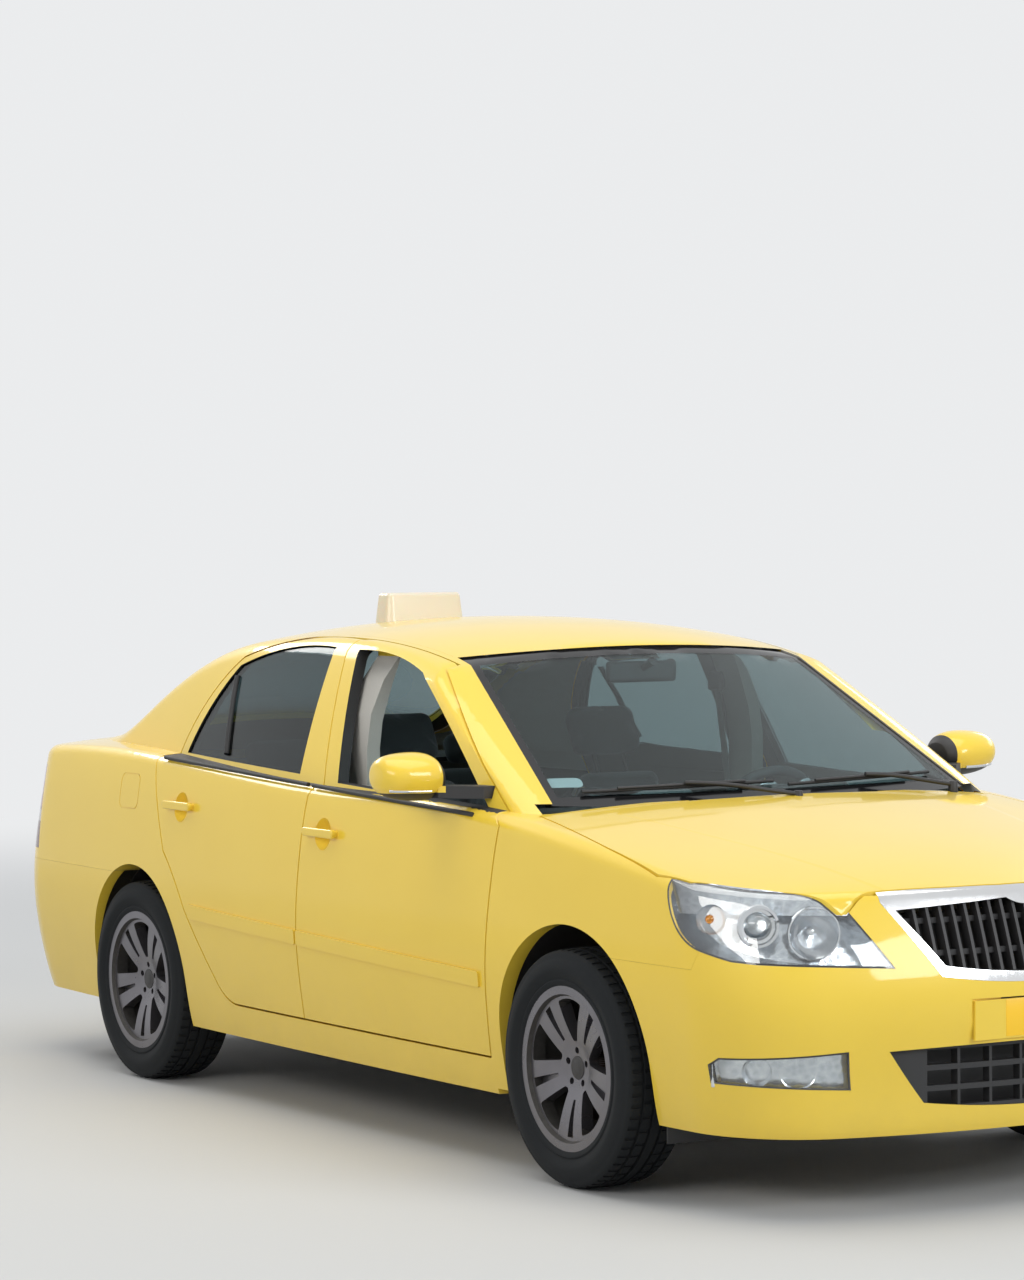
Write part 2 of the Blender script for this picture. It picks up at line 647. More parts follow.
for side, sign in sides:
    lamp_way = Vector((0.8, sign * 0.56, 0.22))
    cover, shell = copy_of("headlamps"), copy_of("headlamps")
    for form, outside in ((cover, False), (shell, True)):
        unwanted = [face for face in form.faces
                    if face.calc_center_median().y * sign < 0
                    or (face.normal.dot(lamp_way) > 0.45) == outside]
        bmesh.ops.delete(form, geom=unwanted, context="FACES")
    bmesh.ops.reverse_faces(shell, faces=shell.faces)
    for vert in shell.verts:
        vert.co -= Vector((0.0012, sign * 0.0004, 0.0))
    lamp_rim("headlamp_rim_" + side, cover, lamp_way * -0.006, 0.0045)
    thicken(cover, 0.0025)
    thicken(shell, 0.0015)
    keep("headlamp_cover_" + side, cover, clear_plastic, replaces=("headlamps",))
    keep("headlamp_housing_" + side, shell, lamp_metal)
    beam_way = Vector((0.93, sign * 0.34, -0.05)).normalized()
    projector = Vector((2.062, sign * 0.728, 0.738))
    main_beam = Vector((2.105, sign * 0.59, 0.716))
    side_light = Vector((1.965, sign * 0.802, 0.752))
    inside = bmesh.new()
    bowl(inside, projector, beam_way,
         [(-0.045, 0.03), (-0.03, 0.045), (0.0, 0.052), (0.004, 0.055), (0.01, 0.053),
          (0.01, 0.046), (0.002, 0.044), (0.0, 0.036)])
    bowl(inside, main_beam, beam_way,
         [(-0.05, 0.012), (-0.044, 0.03), (-0.02, 0.052), (0.004, 0.062), (0.01, 0.064),
          (0.01, 0.068), (0.0, 0.068)])
    drum(inside, main_beam - beam_way * 0.04, main_beam - beam_way * 0.012, 0.01, 0.008, 0.002, 24)
    bowl(inside, side_light, (0.8, sign * 0.6, 0),
         [(-0.03, 0.01), (-0.02, 0.026), (0.0, 0.036), (0.004, 0.038)])
    keep("headlamp_bowls_" + side, inside, silvered, 40)
    ball("headlamp_lens_" + side, projector - beam_way * 0.012, 0.036, (40, 24), clear_plastic)
    ball("headlamp_amber_" + side, side_light - Vector((0.006, 0, 0)), 0.012, (24, 16), amber)

# Fog lamps: a ribbed clear cover over a silvered bowl in the bumper's corner.
for side, sign in sides:
    cover = copy_of("fog_lamps")
    across = [v for v in cover.verts if v.co.y * sign < 0]
    bmesh.ops.delete(cover, geom=across, context="VERTS")
    back = cover.copy()
    lamp_way = Vector((0.86, sign * 0.5, 0))
    hidden = [face for face in back.faces if face.normal.dot(lamp_way) < 0.6]
    bmesh.ops.delete(back, geom=hidden, context="FACES")
    lamp_rim("fog_rim_" + side, back, Vector((-0.006, sign * -0.003, 0)), 0.004)
    bmesh.ops.translate(back, verts=back.verts, vec=(-0.026, sign * -0.014, 0))
    thicken(back, 0.0015)
    keep("fog_housing_" + side, back, lamp_metal)
    keep("fog_cover_" + side, cover, clear_plastic, replaces=("fog_lamps",))
    inside = bmesh.new()
    bowl(inside, Vector((2.105, sign * 0.64, 0.376)), lamp_way.normalized(),
         [(-0.05, 0.008), (-0.04, 0.026), (-0.015, 0.04), (0.004, 0.044), (0.006, 0.047),
          (-0.02, 0.047)])
    bowl(inside, Vector((2.055, sign * 0.73, 0.374)), lamp_way.normalized(),
         [(-0.03, 0.008), (-0.02, 0.024), (0.0, 0.034), (0.004, 0.037)])
    block(inside, (1.955, sign * 0.54, 0.33), (1.965, sign * 0.8, 0.42), 0.002)
    keep("fog_bowls_" + side, inside, silvered, 40)

# Tail lamps: red moulded covers with a clear band for the reversing light.
red_lens, shader, place = start_material(
    "red_lens", Roughness=0.1, Coat_Weight=0.4, IOR=1.42, Specular_IOR_Level=0.4)
height = add_node(place, "SeparateXYZ", Vector=place).outputs["Z"]
facets = add_node(place, "TexVoronoi", Scale=95, Vector=place).outputs["Distance"]


def level_band(low, high):
    """1 between two heights"""
    return maths("MULTIPLY", maths("GREATER_THAN", height, low),
                 maths("LESS_THAN", height, high))


red = mixed(facets, (0.34, 0.004, 0.006), (0.15, 0.002, 0.003))
dark_red = mixed(level_band(0.826, 0.966), (0.075, 0.002, 0.003), red)
clear_band = mixed(facets, (0.6, 0.58, 0.56), (0.3, 0.28, 0.27))
fill_in(shader, Base_Color=mixed(level_band(0.78, 0.818), dark_red, clear_band))
bumped(shader, facets, 0.0012, 0.5)
smoothed("tail_lamps", red_lens)

# Mirrors: a painted cap over a black housing and foot, with the glass set in its back and
# an indicator strip along its front.
mirror_glass = grained("mirror_glass", "Patch", 30, 4, (0.8, 0.82, 0.84), (0.88, 0.89, 0.9),
                       Metallic=1.0, Roughness=0.02)
cap_foot, cap_root = 1.016, 0.89
for side, sign in sides:
    node, door = "mirror_" + side, "front_door_" + side
    form = copy_of(node)
    back = min(v.co.x for v in form.verts)
    cut(form, (0, 0, cap_foot), (0, 0, 1))
    cut(form, (0, sign * cap_root, 0), (0, 1, 0))
    part_out(form, lambda middle, normal:
             middle.z < cap_foot or abs(middle.y) < cap_root or middle.x < back + 0.001)
    keep(node + "_skin", form, (paint, black), 35, door, (node,))
    pane = bmesh.new()
    bmesh.ops.create_circle(pane, cap_ends=True, segments=64, radius=1, matrix=Matrix.Translation(
        (back - 0.0015, sign * 0.958, 1.058)) @ Matrix.Rotation(pi / 2, 4, "Y") @ Matrix.Diagonal(
        (0.05, 0.078, 1, 1)))
    bmesh.ops.recalc_face_normals(pane, faces=pane.faces)
    thicken(pane, 0.003)
    keep(node + "_glass", pane, mirror_glass, 40, door)

surfaces = {}


def touch(node, start, way):
    """where a line from start meets a CAD node"""
    if node not in surfaces:
        form = copy_of(node)
        surfaces[node] = BVHTree.FromBMesh(form)
        form.free()
    spot = surfaces[node].ray_cast(Vector(start), Vector(way).normalized())[0]
    if spot is None:
        raise ValueError("nothing of %s at %s" % (node, start))
    return spot


def spread(start, end, count):
    """evenly spaced values, the ends included"""
    return [start + (end - start) * i / (count - 1) for i in range(count)]


for side, sign in sides:
    strip = []
    for t in spread(0, 1, 7):
        y, z = sign * (0.925 + 0.115 * t), 1.02 + 0.004 * t ** 2
        strip.append(touch("mirror_" + side, (2, y, z), (-1, 0, 0)) + Vector((-0.0015, 0, 0)))
    tube("mirror_%s_indicator" % side, strip, 0.0052, silvered, "front_door_" + side)

# Roof sign: a blown box of cream plastic, lit from inside when for hire, on a dark foot.
sign_plastic = grained("sign_plastic", "Patch", 260, 2, (0.7, 0.63, 0.5), (0.75, 0.69, 0.57),
                       (0.0002, 0.3), Roughness=0.3, Coat_Weight=0.3, Subsurface_Weight=0.15,
                       Subsurface_Scale=0.02)
smoothed("roof_sign", sign_plastic, 40)

# Plates: yellow reflective sheet on pressed aluminium, blank, the rear one with a raised rim.
plate_paint = grained("plate_paint", "Patch", 1500, 1, (0.95, 0.53, 0.004), (1.0, 0.6, 0.008),
                      (0.0001, 0.4), Roughness=0.35, Coat_Weight=0.4)
smoothed("front_plate", paint)
boxes("front_plate_sheet", plate_paint, "plate_yellow",
      ((2.2765, -0.117, 0.441), (2.2795, 0.117, 0.535), 0.0012, 2))
form = copy_of("rear_plate")
bmesh.ops.dissolve_limit(form, angle_limit=0.01, verts=form.verts, edges=form.edges)
outer = [face for face in form.faces if abs(face.normal.x) > 0.9]
bmesh.ops.inset_individual(form, faces=outer, thickness=0.006, depth=0)
bmesh.ops.inset_individual(form, faces=outer, thickness=0.0015, depth=-0.0015)
keep("rear_plate_sheet", form, plate_paint, 20, "tailgate", ("rear_plate",))

# Belt strips and divider: black rubber strips below the side glass, and the black bar
# that parts the rear door's glass, lying on the pane.
for side, sign in sides:
    for door, x_back, x_front in (("front", -0.03, 0.88), ("rear", -1.04, -0.06)):
        node = "%s_door_%s" % (door, side)
        points = []
        for x in spread(x_back, x_front, 9):
            belt = 0.95 + (1.015 - x) * 0.0388 - 0.016
            points.append(touch(node, (x, sign * 2, belt), (0, -sign, 0))
                          + Vector((0, sign * -0.003, 0.019)))
        tube("belt_strip_%s_%s" % (door, side), points, 0.0065, seal_rubber, node)
    points = []
    for t in spread(0.1, 0.94, 6):
        start = (-0.843 + 0.115 * t, sign * 2, 1.318 - 0.281 * t)
        points.append(touch("rear_door_glass_" + side, start, (0, -sign, 0))
                      + Vector((0, sign * 0.003, 0)))
    tube("divider_" + side, points, 0.01, seal_rubber, "rear_door_" + side)

# Wipers: painted steel arms on splined pivots, each with a rubber blade at rest along the
# foot of the windscreen.
for name, pivot_y, from_y, to_y in (("wiper_right", 0.02, -0.6, 0.00),
                                    ("wiper_left", 0.62, 0.04, 0.6)):
    rest = []
    for t in spread(0, 1, 7):
        y, z = from_y + (to_y - from_y) * t, 1.012 + 0.01 * t
        rest.append(touch("windscreen", (2.5, y, z), (-1, 0, 0)) + Vector((0.01, 0, 0.006)))
    tube(name + "_blade", rest, 0.005, seal_rubber)
    spine = [p + Vector((0.006, 0, 0.006)) for p in rest[1:-1]]
    tube(name + "_spine", spine, 0.0045, black)
    foot = touch("windscreen", (2.5, pivot_y, 0.995), (-1, 0, 0)) + Vector((0.055, 0, -0.012))
    middle = rest[3] + Vector((0.012, 0, 0.012))
    arm = [foot + Vector((0, 0, 0.012)), foot + Vector((0, (middle.y - foot.y) * 0.3, 0.026)),
           middle + (foot - middle) * 0.3 + Vector((0, 0, 0.012)), middle]
    tube(name + "_arm", arm, 0.0065, black)
    cap = bmesh.new()
    drum(cap, foot + Vector((0, 0, -0.03)), foot + Vector((0, 0, 0.022)), 0.015, 0.013, 0.003, 24)
    keep(name + "_pivot", cap, black)

# Placard: a small white plastic card stuck inside the windscreen's corner, blank.
card_plastic = grained("card_plastic", "Patch", 80, 2, (0.74, 0.76, 0.78), (0.8, 0.81, 0.82),
                       Roughness=0.35)
start, end, above = (touch("windscreen", (0.5, y, z), (1, 0, 0))
                     for y, z in ((-0.66, 1.035), (-0.56, 1.035), (-0.61, 1.065)))
along = (end - start).normalized()
out = along.cross(above - start).normalized()
if out.x < 0:
    out = -out
up = out.cross(along)
card = bmesh.new()
bmesh.ops.create_grid(card, x_segments=1, y_segments=1, size=0.5, matrix=Matrix.Translation(
    (start + end) / 2 - out * 0.004 + up * 0.012)
    @ Matrix((along, up, out)).transposed().to_4x4() @ Matrix.Diagonal((0.104, 0.046, 1, 1)))
bmesh.ops.bevel(card, geom=card.verts[:], offset=0.018, segments=6, affect="VERTICES",
                profile=0.5, material=-1)
bmesh.ops.recalc_face_normals(card, faces=card.faces)
thicken(card, 0.0015)
keep("placard", card, card_plastic)

# Dashboard: a grained soft moulding with an instrument hood, air vents, a centre stack and
# a glovebox, on the bulkhead; the console carries the gear lever and the hand brake.
dash_plastic = grained("dash_plastic", "Patch", 650, 3, (0.03, 0.031, 0.033),
                       (0.048, 0.048, 0.05), (0.0004, 0.7), Roughness=0.62)
smoothed("dashboard", dash_plastic, 40)
smoothed("steering_wheel", dash_plastic, 40, "steering_wheel")
boxes("dash_hood", dash_plastic, "dash_plastic",
      ((0.66, 0.21, 0.925), (0.84, 0.53, 0.985), 0.028, 5),
      ((0.625, -0.13, 0.76), (0.69, 0.13, 0.94), 0.015, 4),
      ((0.56, -0.11, 0.42), (0.72, 0.11, 0.77), 0.03, 4),
      ((-0.12, -0.095, 0.33), (0.6, 0.095, 0.5), 0.03, 4),
      ((-0.3, -0.085, 0.42), (-0.02, 0.085, 0.59), 0.03, 4))
vents = bmesh.new()
for y in (-0.6, -0.085, 0.085, 0.6):
    for slat in range(4):
        z = 0.868 + slat * 0.012
        block(vents, (0.618, y - 0.04, z), (0.66, y + 0.04, z + 0.006), 0.0015, 1)
block(vents, (0.619, -0.09, 0.8), (0.63, 0.09, 0.846), 0.002, 2)
for y in (-0.06, 0.0, 0.06):
    drum(vents, (0.628, y, 0.778), (0.606, y, 0.776), 0.015, 0.013, 0.002, 24)
drum(vents, (0.3, 0.0, 0.5), (0.285, 0.0, 0.6), 0.01, 0.007, 0, 16)
drum(vents, (0.286, 0.0, 0.585), (0.28, 0.0, 0.64), 0.02, 0.022, 0.006, 24)
block(vents, (-0.02, 0.03, 0.56), (0.16, 0.062, 0.6), 0.012)
keep("dash_vents", vents, black, 40)
dials = bmesh.new()
for y in (0.3, 0.44):
    drum(dials, (0.664, y, 0.952), (0.652, y, 0.95), 0.045, 0.045, 0.002)
keep("dash_dials", dials, silvered, 40)
hub = bmesh.new()
bmesh.ops.create_cone(hub, cap_ends=True, cap_tris=False, segments=48, radius1=0.078,
                      radius2=0.06, depth=0.045, matrix=Matrix.Translation((0.5, 0.37, 0.86))
                      @ towards((-0.906, 0, 0.423)))
bmesh.ops.bevel(hub, geom=[e for e in hub.edges if e.calc_face_angle(0) > 0.9], offset=0.01,
                segments=3, affect="EDGES", profile=0.5, material=-1)
keep("wheel_pad", hub, dash_plastic, 50, "steering_wheel")

# Seats: foam under woven grey cloth. Cushions and backs start a little small and are blown
# up as cloth; the left front seat mirrors the right one.
seat_cloth, shader, place = start_material("seat_cloth", Roughness=0.92, Sheen_Weight=0.35,
                                                 Sheen_Roughness=0.4)
threads = []
for direction in ("X", "Y", "Z"):
    wave = add_node(place, "TexWave", bands_direction=direction, Scale=150, Distortion=0.6,
                    Vector=place)
    threads.append(wave.outputs["Fac"])
weave = maths("MULTIPLY", maths("MAXIMUM", threads[0], threads[2]), threads[1])
fluff = use_group(grain, place, Scale=240, Detail=4)
shade = mixed(fluff.outputs["Patch"], (0.05, 0.052, 0.056), (0.085, 0.086, 0.09))
fill_in(shader, Base_Color=mixed(maths("MULTIPLY", weave, 0.6), shade, (0.025, 0.026, 0.028)))
bumped(shader, weave, 0.0008, 0.7)


def foam(turn, *rows):
    """a form of turned blocks with soft edges, each with its corners and its edge"""
    form = bmesh.new()
    for low, high, edge in rows:
        part = blocks((low, high, edge, 4))
        part.transform(turn)
        mesh = bpy.data.meshes.new("foam")
        part.to_mesh(mesh)
        part.free()
        form.from_mesh(mesh)
        bpy.data.meshes.remove(mesh)
    return form


def evaluated(piece):
    """a piece's mesh with its modifiers applied"""
    return bpy.data.meshes.new_from_object(
        piece.evaluated_get(bpy.context.evaluated_depsgraph_get()))


def blown_up(form, voxel, most):
    """joins a form's blocks and swells them as cloth, a point moving no further than most"""
    pad = object_of("pad", form)
    joined = pad.modifiers.new("joined", "REMESH")
    joined.mode = "VOXEL"
    joined.voxel_size = voxel
    start = result = evaluated(pad)
    pad.modifiers.clear()
    pad.data = start
    cloth = pad.modifiers.new("cloth", "CLOTH")
    cloth.settings.quality = 3
    cloth.settings.use_pressure = True
    cloth.settings.uniform_pressure_force = 4
    cloth.settings.effector_weights.gravity = 0
    for step in range(1, 21):
        bpy.context.scene.frame_set(step)
    result = evaluated(pad)
    pad.modifiers.clear()
    bpy.context.scene.frame_set(1)
    for after, before in zip(result.vertices, start.vertices):
        shift = after.co - before.co
        if shift.length > most:
            after.co = before.co + shift.normalized() * most
    swollen = bmesh.new()
    swollen.from_mesh(result)
    bpy.data.objects.remove(pad)
    return swollen


def mirrored(form):
    """a copy of a form across the car's middle"""
    other = form.copy()
    other.transform(Matrix.Diagonal((1, -1, 1, 1)))
    bmesh.ops.reverse_faces(other, faces=other.faces)
    return other


def reclined(foot, degrees_back):
    """the place and lean of a backrest, from the middle of its foot"""
    return Matrix.Translation(foot) @ Matrix.Rotation(radians(-degrees_back), 4, "Y")


seat_y = 0.37
level, front_lean = Matrix(), reclined((-0.045, -seat_y, 0.45), 25)
cushion = blown_up(foam(level, ((-0.02, -0.53, 0.375), (0.455, -0.21, 0.5), 0.045),
                        ((0.00, -0.608, 0.375), (0.44, -0.515, 0.52), 0.04),
                        ((0.00, -0.225, 0.375), (0.44, -0.132, 0.52), 0.04)), 0.008, 0.014)
backrest = blown_up(foam(front_lean, ((-0.045, -0.15, 0.00), (0.05, 0.15, 0.585), 0.04),
                         ((-0.035, -0.232, 0.03), (0.085, -0.135, 0.52), 0.038),
                         ((-0.035, 0.135, 0.03), (0.085, 0.232, 0.52), 0.038)), 0.008, 0.014)
head = blown_up(foam(front_lean, ((-0.04, -0.12, 0.64), (0.04, 0.12, 0.8), 0.036)),
                0.006, 0.01)
for name, form, fill in (("cushion", cushion, 0.7), ("backrest", backrest, 0.7),
                         ("head_restraint", head, 0.8)):
    for side, shape in (("left", mirrored(form)), ("right", form)):
        piece = keep("front_%s_%s" % (name, side), shape, seat_cloth, 60,
                     replaces=("front_seats",))
for side, sign in sides:
    y = sign * seat_y
    under = blocks(((0.00, y - 0.2, 0.3), (0.42, y + 0.2, 0.385), 0.012),
                   ((-0.1, y - 0.19, 0.268), (0.46, y - 0.16, 0.305), 0.004),
                   ((-0.1, y + 0.16, 0.268), (0.46, y + 0.19, 0.305), 0.004))
    for off in (-0.055, 0.055):
        foot = Matrix.Translation((0, y + seat_y, 0)) @ front_lean
        low, high = foot @ Vector((0, off, 0.56)), foot @ Vector((0, off, 0.67))
        drum(under, low, high, 0.007, 0.007, 0, 16)
    keep("front_seat_frame_" + side, under, black, 40)

bench_lean = reclined((-0.835, 0, 0.44), 27)
bench = blown_up(foam(level, ((-0.88, 0.105, 0.31), (-0.4, 0.585, 0.455), 0.045),
                      ((-0.88, -0.585, 0.31), (-0.4, -0.105, 0.455), 0.045),
                      ((-0.88, -0.12, 0.31), (-0.41, 0.12, 0.462), 0.04)), 0.012, 0.016)
bench_back = blown_up(foam(bench_lean, ((-0.05, 0.105, 0.00), (0.045, 0.585, 0.59), 0.042),
                           ((-0.05, -0.585, 0.00), (0.045, -0.105, 0.59), 0.042),
                           ((-0.05, -0.12, 0.00), (0.055, 0.12, 0.575), 0.04)), 0.012, 0.016)
for name, form in (("bench_cushion", bench), ("bench_back", bench_back)):
    piece = keep(name, form, seat_cloth, 60, replaces=("rear_bench",))
for side, sign in sides:
    y = sign * seat_y
    head = foam(bench_lean, ((-0.035, y - 0.115, 0.6), (0.035, y + 0.115, 0.7), 0.03))
    piece = keep("bench_head_" + side, blown_up(head, 0.006, 0.008), seat_cloth, 60)

# Carpet and floor: needled felt on the floor and parcel shelf; the bare steel of the frame
# is painted inside the engine bay and sealed with black coating underneath.
carpet = grained("carpet", "Height", 420, 6, (0.012, 0.012, 0.013), (0.06, 0.058, 0.056),
                 (0.002, 0.8), Roughness=0.98, Sheen_Weight=0.2)
sealer = pebbled("underbody_sealer", 160, 5, (0.0, 1.5, 0.8), (0.02, 0.02, 0.021),
                 (0.13, 0.11, 0.09), (0.002, 0.6), Roughness=0.8)
form = copy_of("floor_pan")
part_out(form, lambda middle, normal: normal.z <= -0.3 or abs(middle.y) >= 0.75)
keep("floor_pan_skin", form, (carpet, sealer), replaces=("floor_pan",))
sealed_below, bulkhead_x = 0.33, 1.1
form = copy_of("front_frame")
cut(form, (0, 0, sealed_below), (0, 0, 1))
part_out(form, lambda middle, normal: 1 if normal.x < -0.4 and middle.x < bulkhead_x
         else 2 * (middle.z < sealed_below))
keep("front_frame_skin", form, (paint, carpet, sealer), replaces=("front_frame",))
smoothed("parcel_shelf", carpet)

# Running gear: welded steel in black paint with rust and road dust, cast iron knuckles, a
# plastic tank, an aluminised exhaust, a finned radiator and the engine under its cover.


def stained(place, scale, start, gain):
    """1 where stains lie, from the grain above start, and the grain's height"""
    height = use_group(grain, place, Scale=scale, Detail=7).outputs["Height"]
    above = maths("SUBTRACT", height, start)
    return maths("MULTIPLY", above, gain, clamp=True), height


rusty_steel, shader, place = start_material("rusty_steel", Roughness=0.75)
patch, height = stained(place, 45, 0.5, 9)
rusty = mixed(patch, (0.022, 0.022, 0.023), (0.115, 0.048, 0.022))
dusty(shader, place, 0.0, 1.4, 0.6, rusty, (0.14, 0.12, 0.1))
bumped(shader, height, 0.0012, 0.5)
for node, body in (("front_subframe", "chassis"), ("rear_axle_beam", "chassis"),
                   ("knuckle_right", "knuckle_right"), ("knuckle_left", "knuckle_left")):
    smoothed(node, rusty_steel, body=body)
pipe_steel, shader, place = start_material("exhaust_steel", Metallic=0.8)
worn, height = stained(place, 18, 0.45, 6)
fill_in(shader, Base_Color=mixed(worn, (0.33, 0.32, 0.31), (0.15, 0.07, 0.035)),
        Roughness=maths("ADD", 0.4, maths("MULTIPLY", worn, 0.4)))
smoothed("exhaust", pipe_steel, 35)
tank_plastic, shader, place = start_material("tank_plastic", Roughness=0.55)
dusty(shader, place, 0.0, 0.8, 0.6, (0.016, 0.016, 0.017), (0.12, 0.1, 0.08))
smoothed("fuel_tank", tank_plastic, 35)


def ribbed(name, scale, first, second, bump, **sockets):
    """a material in level bands of two colours, raised and sunk"""
    material, shader, place = start_material(name, **sockets)
    wave = add_node(place, "TexWave", bands_direction="Z", Scale=scale, Vector=place)
    fill_in(shader, Base_Color=mixed(wave.outputs["Fac"], first, second))
    bumped(shader, wave.outputs["Fac"], *bump)
    return material


finned = ribbed("radiator_fins", 110, (0.02, 0.02, 0.02), (0.16, 0.16, 0.155), (0.002, 0.8),
                Metallic=0.6, Roughness=0.45)
smoothed("radiator", finned)
cast_metal = grained("engine_casting", "Height", 14, 7, (0.3, 0.29, 0.28), (0.06, 0.05, 0.04),
                     (0.001, 0.4), Metallic=0.7, Roughness=0.55)
smoothed("engine_block", cast_metal)
boxes("engine_cover", black, "black_trim", ((1.215, -0.3, 0.78), (1.585, 0.3, 0.812), 0.014),
      *(((1.24, y - 0.012, 0.808), (1.56, y + 0.012, 0.818), 0.004, 2)
        for y in (-0.2, -0.1, 0.0, 0.1, 0.2)))

# Wheel bolts and caps: five hexagon bolts in each hub and a plain round cap.
bolt_circle, bolts = 0.056, 5
for end, side, sign, body, tyre, centre in wheels:
    rim = "rim_%s_%s" % (end, side)
    face_y = touch(rim, (centre.x, sign * 2, centre.z + 0.038), (0, -sign, 0)).y
    fixings = bmesh.new()
    for i in range(bolts):
        angle = 2 * pi * i / bolts
        spot = Vector((centre.x + bolt_circle * sin(angle), face_y,
                       centre.z + bolt_circle * cos(angle)))
        drum(fixings, spot + Vector((0, -sign * 0.022, 0)), spot + Vector((0, -sign * 0.004, 0)),
             0.0095, 0.009, 0.001, 6)
    keep("bolts_%s_%s" % (end, side), fixings, brake_steel, 30, body)
    cap = bmesh.new()
    cap_y = touch(rim, (centre.x, sign * 2, centre.z), (0, -sign, 0)).y
    bowl(cap, Vector((centre.x, cap_y, centre.z)), (0, sign, 0),
         [(-0.01, 0.0325), (0.003, 0.0325), (0.006, 0.03), (0.0065, 0.02), (0.0075, 0.018),
          (0.0085, 0.01), (0.0088, 0.0)])
    keep("cap_%s_%s" % (end, side), cap, black, 40, body)

# Air ducts and wheel flaps: black plastic behind the grilles, and a rubber flap ahead of
# each front wheel.
boxes("air_ducts", seal_rubber, "black_trim",
      ((2.12, -0.44, 0.255), (2.126, 0.44, 0.435), 0.001, 1),
      ((2.121, -0.34, 0.252), (2.195, 0.34, 0.258), 0.001, 1),
      ((2.06, -0.33, 0.56), (2.066, 0.33, 0.74), 0.001, 1))
for side, sign in sides:
    boxes("wheel_flap_" + side, seal_rubber, "black_trim",
          ((1.738, sign * 0.56, 0.158), (1.744, sign * 0.79, 0.23), 0.002, 2))

# Cabin fittings: door cards with arm rests, pockets, pulls and speaker grilles, the inner
# mirror on its stem, folded sun visors and the woven belts on the centre pillars.
card_cloth = grained("card_cloth", "Height", 520, 3, (0.055, 0.057, 0.062),
                     (0.11, 0.112, 0.118), (0.0008, 0.7), Roughness=0.95, Sheen_Weight=0.3)
webbing = ribbed("belt_webbing", 180, (0.3, 0.3, 0.29), (0.46, 0.45, 0.43), (0.0006, 0.7),
                 Roughness=0.8, Sheen_Weight=0.3)
for side, sign in sides:
    for door, back, front, low, high in (("front", 0.05, 0.78, 0.5, 0.86),
                                         ("rear", -0.8, -0.15, 0.55, 0.88)):
        node = "%s_door_%s" % (door, side)
        inner = touch(node, ((back + front) / 2, 0, 0.72), (0, sign, 0)).y
        card_y, pull_y, pocket_y, rest_y = (inner - sign * depth
                                            for depth in (0.012, 0.022, 0.03, 0.055))
        boxes("door_card_" + node, card_cloth, "seat_cloth",
              ((back + 0.05, inner, low + 0.12), (front - 0.04, card_y, high), 0.0055), body=node)
        boxes("door_rest_" + node, dash_plastic, "dash_plastic",
              ((back + 0.1, inner, 0.665), (front - 0.22, rest_y, 0.705), 0.014, 4),
              ((back + 0.08, inner, low - 0.06), (front - 0.16, pocket_y, low + 0.05), 0.012),
              body=node)
        boxes("door_pull_" + node, chrome, "chrome_trim",
              ((front - 0.19, inner, 0.77), (front - 0.09, pull_y, 0.795), 0.008, 4), body=node)
        speaker = bmesh.new()
        spot = Vector((front - 0.1, inner, low - 0.02))
        drum(speaker, spot, spot - Vector((0, sign * 0.01, 0)), 0.07, 0.066, 0.003, 48)
        keep("door_speaker_" + node, speaker, seal_rubber, 30, node)
    top, foot = (touch("body_side_" + side, (x, 0, z), (0, sign, 0)) - Vector((0, sign * 0.01, 0))
                 for x, z in ((-0.075, 1.26), (-0.06, 0.7)))
    way = foot - top
    strap = blocks(((-0.024, -0.0012, -way.length / 2), (0.024, 0.0012, way.length / 2), 0.0006, 1))
    half_turn = Matrix.Rotation(pi / 2 if side == "right" else pi * 1.5, 4, "Z")
    strap.transform(Matrix.Translation((top + foot) / 2) @ towards(way, "X") @ half_turn)
    keep("belt_" + side, strap, webbing)
    reach = Vector((0.035, 0.014, 0.03))
    boxes("belt_guide_" + side, dash_plastic, "dash_plastic", (top - reach, top + reach, 0.01, 4))
    y = sign * 0.32
    ceiling = touch("roof", (0.28, y, 1.2), (0, 0, 1)).z
    boxes("visor_" + side, headlining, "seat_cloth",
          ((0.215, y - 0.17, ceiling - 0.026), (0.365, y + 0.17, ceiling - 0.008), 0.0085, 4))
stem = touch("windscreen", (0.2, 0, 1.345), (1, 0, 0))
inside_mirror = blocks((stem + Vector((-0.085, -0.12, -0.06)),
                        stem + Vector((-0.055, 0.12, 0.004)), 0.013, 4))
drum(inside_mirror, stem + Vector((-0.06, 0, -0.02)), stem + Vector((-0.006, 0, 0.004)), 0.009,
     0.014, 0, 20)
keep("inside_mirror", inside_mirror, dash_plastic, 40)
boxes("inside_mirror_glass", mirror_glass, "window_glass",
      (stem + Vector((-0.0875, -0.11, -0.052)), stem + Vector((-0.0845, 0.11, -0.004)), 0.0012, 1))

# Boot lining: a felt board behind the bench.
lining = foam(reclined((-0.925, 0, 0.45), 27),
              ((-0.012, -0.6, 0.0), (0.0, 0.6, 0.56), 0.004))
keep("boot_board", lining, carpet, 40)

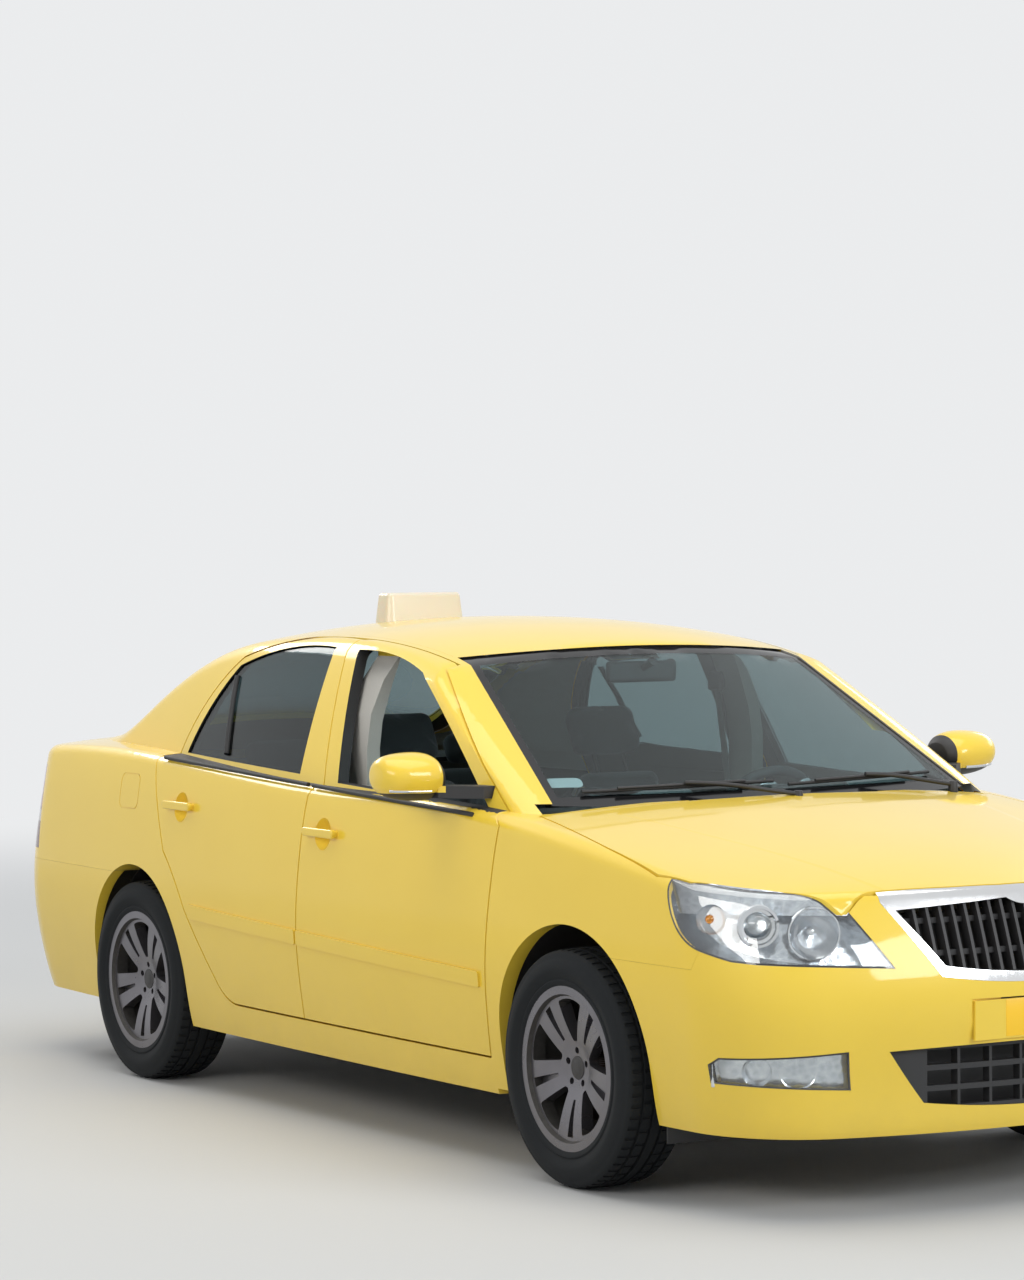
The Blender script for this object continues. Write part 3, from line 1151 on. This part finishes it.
# Engine bay: battery, reservoirs with caps, air box and hoses beside the engine.
bay = blocks(((1.24, 0.455, 0.6), (1.42, 0.585, 0.77), 0.008),
             ((1.46, 0.44, 0.56), (1.66, 0.59, 0.76), 0.02))
for y in (0.485, 0.555):
    drum(bay, (1.27, y, 0.768), (1.27, y, 0.786), 0.01, 0.009, 0.001, 20)
keep("bay_boxes", bay, black, 40)
milky = grained("milky_plastic", "Height", 40, 4, (0.62, 0.6, 0.52), (0.48, 0.45, 0.36),
                Roughness=0.4, Subsurface_Weight=0.3)
bottles = bmesh.new()
drum(bottles, (1.34, -0.515, 0.6), (1.34, -0.515, 0.735), 0.062, 0.055, 0.01)
block(bottles, (1.58, -0.59, 0.58), (1.72, -0.46, 0.72), 0.022, 4)
keep("bay_bottles", bottles, milky, 40)
caps = bmesh.new()
drum(caps, (1.34, -0.515, 0.733), (1.34, -0.515, 0.757), 0.03, 0.028, 0.003, 32)
drum(caps, (1.65, -0.525, 0.718), (1.65, -0.525, 0.742), 0.028, 0.026, 0.003, 32)
keep("bay_caps", caps, dash_plastic, 40)
for name, points, radius, material, slot in (
        ("hose_upper", ((1.6, 0.22, 0.74), (1.7, 0.24, 0.78), (1.84, 0.28, 0.77),
                        (1.96, 0.3, 0.72), (2.01, 0.3, 0.69)), 0.019, rubber, "tyre_rubber"),
        ("hose_lower", ((1.6, -0.2, 0.45), (1.74, -0.24, 0.43), (1.9, -0.28, 0.42),
                        (2.01, -0.28, 0.42)), 0.018, rubber, "tyre_rubber"),
        ("intake_hose", ((1.56, 0.4, 0.7), (1.5, 0.36, 0.82), (1.4, 0.22, 0.84),
                         (1.34, 0.12, 0.82)), 0.03, black, "black_trim")):
    tube(name, points, radius, material)

# Tailgate fittings: a black grip strip above the plate, with two plate lamps below it.
spot = touch("tailgate", (-3, 0, 0.845), (1, 0, 0))
boxes("tailgate_grip", black, "black_trim",
      ((spot.x - 0.01, -0.25, 0.826), (spot.x + 0.012, 0.25, 0.852), 0.007), body="tailgate")
boxes("plate_lights", clear_plastic, "clear_lamp",
      *(((spot.x - 0.007, y - 0.022, 0.818), (spot.x + 0.006, y + 0.022, 0.83), 0.003, 2)
        for y in (-0.1, 0.1)), body="tailgate")
